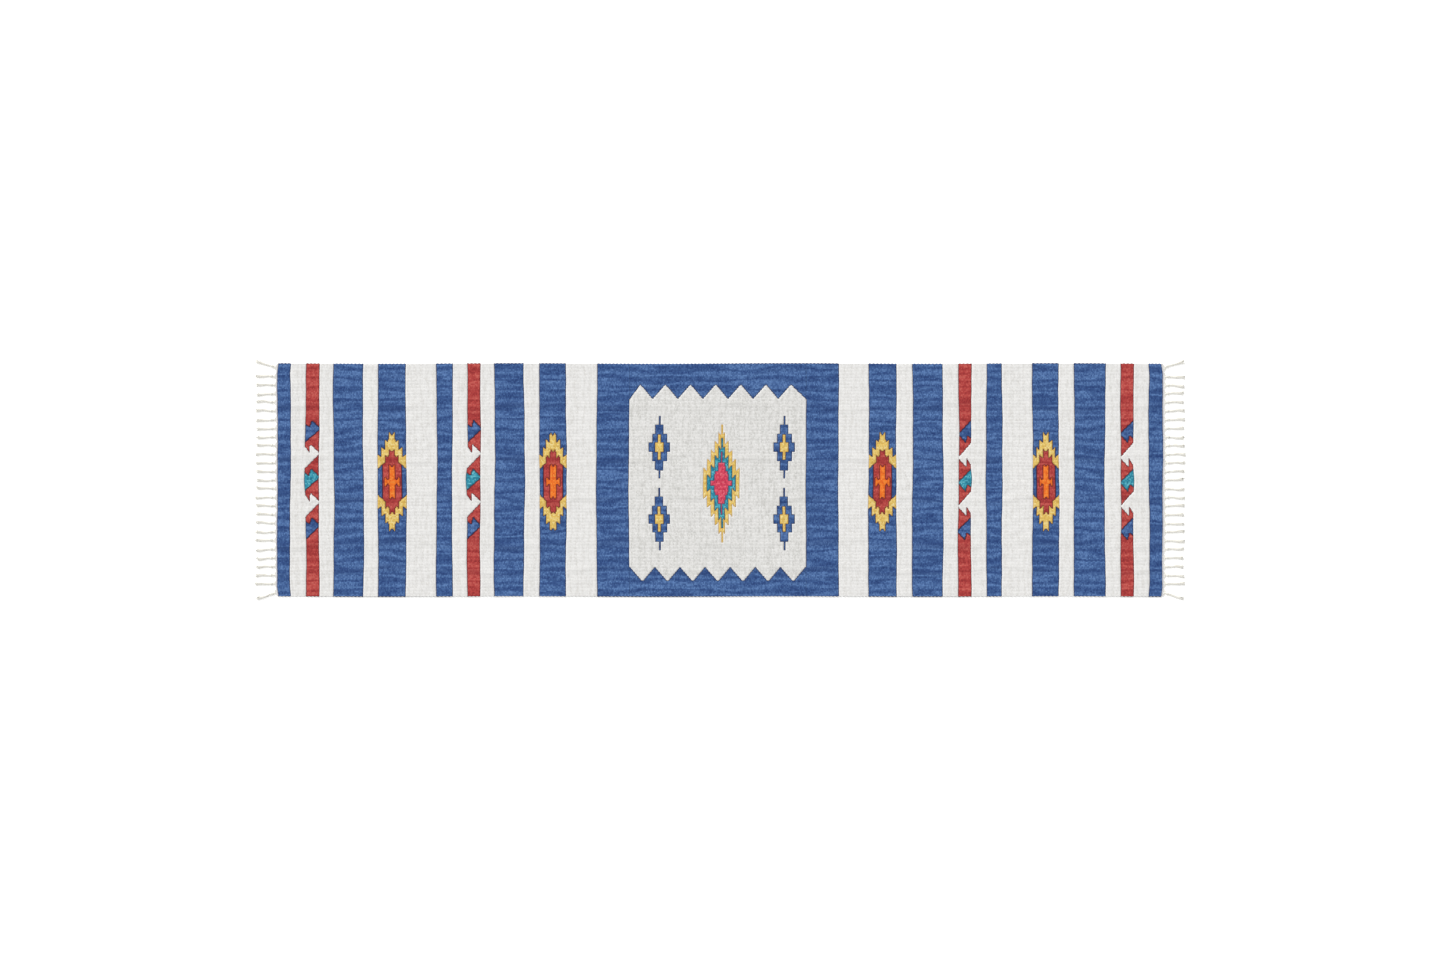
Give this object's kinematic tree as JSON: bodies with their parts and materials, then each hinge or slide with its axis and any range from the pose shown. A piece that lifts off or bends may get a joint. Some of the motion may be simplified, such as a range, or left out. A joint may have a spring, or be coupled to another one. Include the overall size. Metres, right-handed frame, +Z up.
{
  "type": "runner rug",
  "caption": "Flat-woven cotton runner rug with cross bands, stepped medallions, a zigzag-edged centre field and a knotted fringe at both ends, which folds over near each quarter.",
  "frame": {"origin": "middle of the underside, on the floor", "axes": "+X along the rug, +Y across it, +Z up out of the face that shows"},
  "size_m": [2.4, 0.616, 0.006],
  "materials": {
    "blue_weft": "matte",
    "white_weft": "matte",
    "red_weft": "matte",
    "yellow_weft": "matte",
    "orange_weft": "matte",
    "turquoise_weft": "matte",
    "crimson_weft": "matte",
    "warp_yarn": "matte",
    "heading_twine": "matte"
  },
  "bodies": {
    "middle": {"band_12_white": "white_weft", "band_13_blue": "blue_weft", "band_14_white": "white_weft", "band_15_blue": "blue_weft", "band_16_white": "white_weft", "band_18_white": "white_weft", "band_19_blue": "blue_weft", "band_20_white": "white_weft", "band_21_blue": "blue_weft", "band_22_white": "white_weft", "centre_diamond_crimson": "crimson_weft", "centre_diamond_turquoise": "turquoise_weft", "centre_diamond_yellow": "yellow_weft", "corner_diamonds_blue": "blue_weft", "corner_diamonds_yellow_hearts": "yellow_weft", "field_back_zigzag": "blue_weft", "field_front_zigzag": "blue_weft", "field_left_column": "blue_weft", "field_right_column": "blue_weft", "field_white_ground": "white_weft", "middle_medallions_orange_core": "orange_weft", "middle_medallions_red_body": "red_weft", "middle_medallions_yellow_flames": "yellow_weft", "middle_warps": "warp_yarn"},
    "left_end": {"band_01_blue": "blue_weft", "band_02_white": "white_weft", "band_03_red": "red_weft", "band_04_white": "white_weft", "band_05_blue": "blue_weft", "band_06_white": "white_weft", "band_07_blue": "blue_weft", "band_08_white": "white_weft", "band_09_blue": "blue_weft", "band_10_white": "white_weft", "band_11_red": "red_weft", "left_blue_darts": "blue_weft", "left_heading": "heading_twine", "left_medallion_orange_core": "orange_weft", "left_medallion_red_body": "red_weft", "left_medallion_yellow_flames": "yellow_weft", "left_turquoise_darts": "turquoise_weft", "left_warps_and_tassels": "warp_yarn"},
    "right_end": {"band_23_red": "red_weft", "band_24_white": "white_weft", "band_25_blue": "blue_weft", "band_26_white": "white_weft", "band_27_blue": "blue_weft", "band_28_white": "white_weft", "band_29_blue": "blue_weft", "band_30_white": "white_weft", "band_31_red": "red_weft", "band_32_white": "white_weft", "band_33_blue": "blue_weft", "right_blue_darts": "blue_weft", "right_heading": "heading_twine", "right_medallion_orange_core": "orange_weft", "right_medallion_red_body": "red_weft", "right_medallion_yellow_flames": "yellow_weft", "right_turquoise_darts": "turquoise_weft", "right_warps_and_tassels": "warp_yarn"}
  },
  "joints": [
    {"name": "left_fold", "type": "hinge", "parent": "middle", "child": "left_end", "pos_m": [-0.6165, 0, 0.00515], "axis": [0, 1, 0], "range_deg": [0, 179.5]},
    {"name": "right_fold", "type": "hinge", "parent": "middle", "child": "right_end", "pos_m": [0.6135, 0, 0.00515], "axis": [0, -1, 0], "range_deg": [0, 179.5]}
  ]
}
